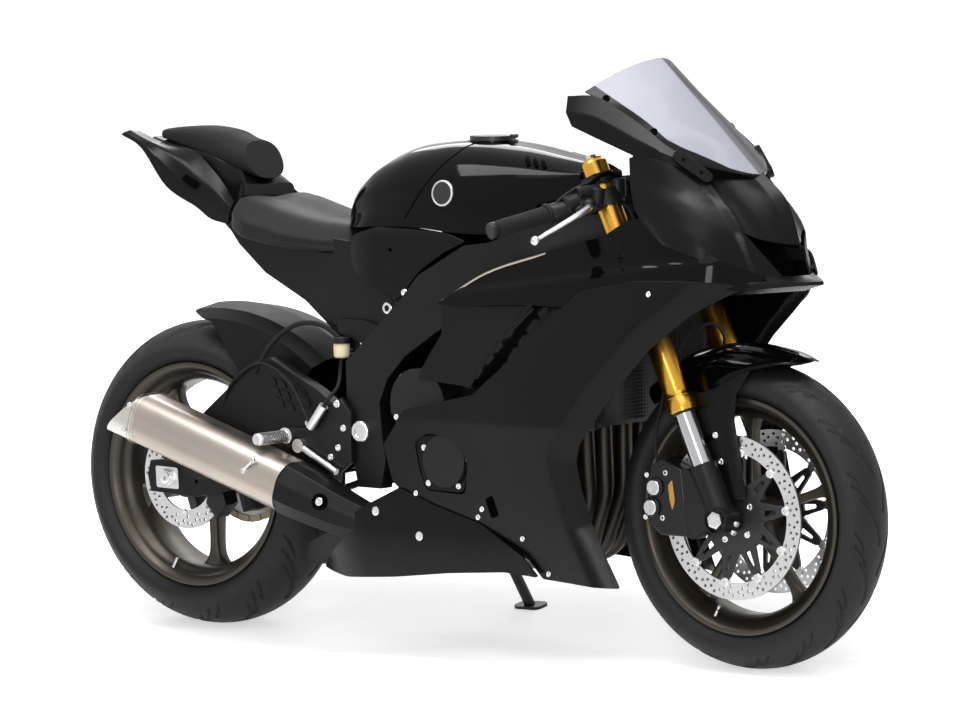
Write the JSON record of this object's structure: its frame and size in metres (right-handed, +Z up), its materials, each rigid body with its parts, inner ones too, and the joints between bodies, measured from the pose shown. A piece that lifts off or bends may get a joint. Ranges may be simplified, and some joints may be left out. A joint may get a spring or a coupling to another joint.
{
  "type": "sport motorcycle",
  "caption": "Faired sport motorcycle in racing trim, leaning on its side stand, with turning wheels, steering, stand and hinged fuel cap.",
  "frame": {"origin": "on the floor under the middle of the parked bike's bounding box", "axes": "+X towards the front wheel, +Y towards the rider's left, +Z up; the bike leans 10.5 degrees to +Y on its side stand"},
  "size_m": [1.99, 0.71, 1.1646],
  "materials": {
    "tyre_rubber": "matt",
    "rim_bronze": "satin",
    "disc_steel": "ground",
    "carrier_black": "anodised",
    "sprocket_steel": "satin",
    "chain_steel": "oiled",
    "fork_silver": "polished",
    "fork_gold": "gold anodised",
    "cast_black": "satin black",
    "caliper_black": "satin",
    "axle_steel": "satin",
    "grip_rubber": "matt",
    "panel_gloss": "gloss",
    "frame_black": "matt",
    "swingarm_black": "satin",
    "plastic_black": "matt",
    "engine_dark": "satin",
    "radiator_black": "matt",
    "titanium": "brushed",
    "end_cap_metal": "satin",
    "shield_black": "satin",
    "tank_gloss": "gloss",
    "cap_black": "satin",
    "seat_vinyl": "grained",
    "panel_matt": "matt",
    "pad_foam": "matt",
    "shock_black": "satin",
    "screen_clear": "clear",
    "control_silver": "satin",
    "reservoir_cream": "translucent",
    "stand_black": "satin"
  },
  "bodies": {
    "chassis": {"frame": "frame_black", "swingarm_pivot": "axle_steel", "swingarm": "swingarm_black", "rear_axle": "axle_steel", "rear_caliper": "caliper_black", "rear_hugger": "plastic_black", "engine_block": "engine_dark", "engine_covers": "engine_dark", "front_sprocket": "sprocket_steel", "drive_chain": "chain_steel", "radiator": "radiator_black", "exhaust_headers": "titanium", "silencer_can": "titanium", "silencer_end": "end_cap_metal", "silencer_shield": "shield_black", "fuel_tank": "tank_gloss", "seat": "seat_vinyl", "tail_cowl": "panel_matt", "tail_pad": "pad_foam", "subframe": "frame_black", "side_covers": "panel_matt", "rear_shock": "shock_black", "nose_cowl": "panel_matt", "windscreen": "screen_clear", "screen_strips": "plastic_black", "side_panels": "panel_matt", "upper_panels": "panel_gloss", "belly_pan": "panel_matt", "dash": "plastic_black", "front_stay": "cast_black", "footrest_hangers": "cast_black", "footpegs": "control_silver", "foot_levers": "control_silver", "rear_master_cylinder": "control_silver", "rear_reservoir": "reservoir_cream", "stand_bracket": "stand_black"},
    "steering": {"fork_tubes": "fork_silver", "fork_sliders": "fork_gold", "fork_feet": "cast_black", "front_calipers": "caliper_black", "front_axle": "axle_steel", "fork_clamps": "cast_black", "steering_stem": "axle_steel", "handlebars": "cast_black", "grips": "grip_rubber", "levers": "cast_black", "lever_perches": "cast_black", "front_fender": "panel_gloss"},
    "front_wheel": {"front_tyre": "tyre_rubber", "front_rim": "rim_bronze", "front_discs": "disc_steel", "front_disc_carriers": "carrier_black"},
    "rear_wheel": {"rear_tyre": "tyre_rubber", "rear_rim": "rim_bronze", "rear_disc": "disc_steel", "rear_hub_carriers": "carrier_black", "rear_sprocket": "sprocket_steel"},
    "side_stand": {"side_stand": "stand_black"},
    "fuel_cap": {"fuel_cap": "cap_black"}
  },
  "joints": [
    {"name": "steering", "type": "hinge", "parent": "chassis", "child": "steering", "pos_m": [0.66447, -0.09378, 0.2828], "axis": [-0.4063, 0.1665, 0.8984], "range_deg": [-27, 27]},
    {"name": "front_wheel", "type": "hinge", "parent": "steering", "child": "front_wheel", "pos_m": [0.695, -0.0913, 0.29615], "axis": [-0.0001, 0.9833, -0.1822], "continuous": true},
    {"name": "rear_wheel", "type": "hinge", "parent": "chassis", "child": "rear_wheel", "pos_m": [-0.68, -0.08857, 0.3115], "axis": [-0.0001, 0.9833, -0.1822], "continuous": true},
    {"name": "side_stand", "type": "hinge", "parent": "chassis", "child": "side_stand", "pos_m": [-0.10502, 0.03969, 0.25697], "axis": [0.0001, 0.9681, 0.2504], "range_deg": [0, 90]},
    {"name": "fuel_cap", "type": "hinge", "parent": "chassis", "child": "fuel_cap", "pos_m": [0.11631, 0.04045, 1.0073], "axis": [-0.0001, 0.9833, -0.1822], "range_deg": [0, 95]}
  ]
}
